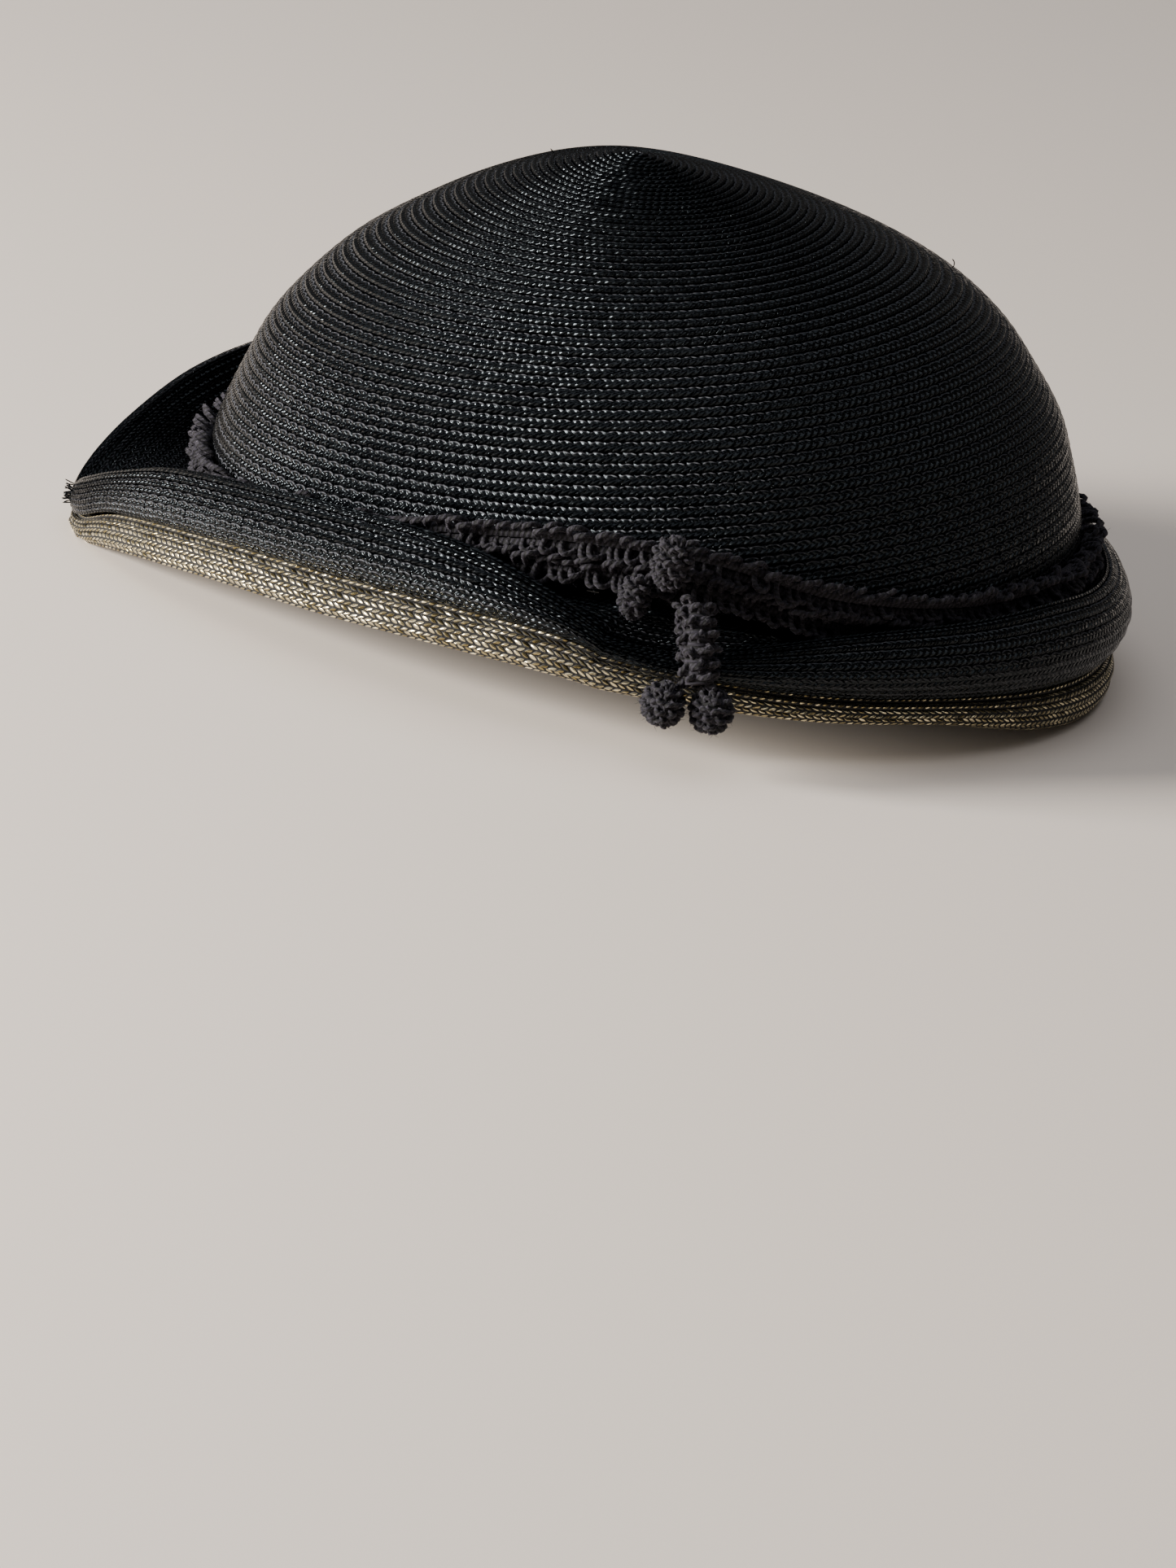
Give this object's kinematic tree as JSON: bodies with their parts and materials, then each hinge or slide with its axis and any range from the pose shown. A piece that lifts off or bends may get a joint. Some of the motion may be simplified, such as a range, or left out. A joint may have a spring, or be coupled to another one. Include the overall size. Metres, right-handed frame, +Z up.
{
  "type": "straw hat",
  "caption": "Black straw hat with a domed crown, a small rolled double brim in black over metallic gold, and a crocheted band with a knot, tie and balls.",
  "frame": {"origin": "middle of the hat's outline on the floor, with the hat standing on the front tip and the back of its lower brim", "axes": "+Z up, +Y towards the back of the hat, +X towards the wearer's left, where the tie and its balls are"},
  "size_m": [0.2134, 0.2574, 0.1112],
  "materials": {
    "black_straw_braid": "glossy black sewn straw braid",
    "gold_metallic_braid": "shiny champagne gold and black herringbone braid",
    "black_crochet_yarn": "matt black crochet"
  },
  "bodies": {
    "root": {"crown": "black_straw_braid", "upper_brim": "black_straw_braid", "lower_brim": "gold_metallic_braid", "crochet_band": "black_crochet_yarn", "knot": "black_crochet_yarn", "knot_loop": "black_crochet_yarn", "drop_cord": "black_crochet_yarn", "front_ball": "black_crochet_yarn", "back_ball": "black_crochet_yarn", "braid_end": "black_straw_braid"}
  },
  "joints": []
}
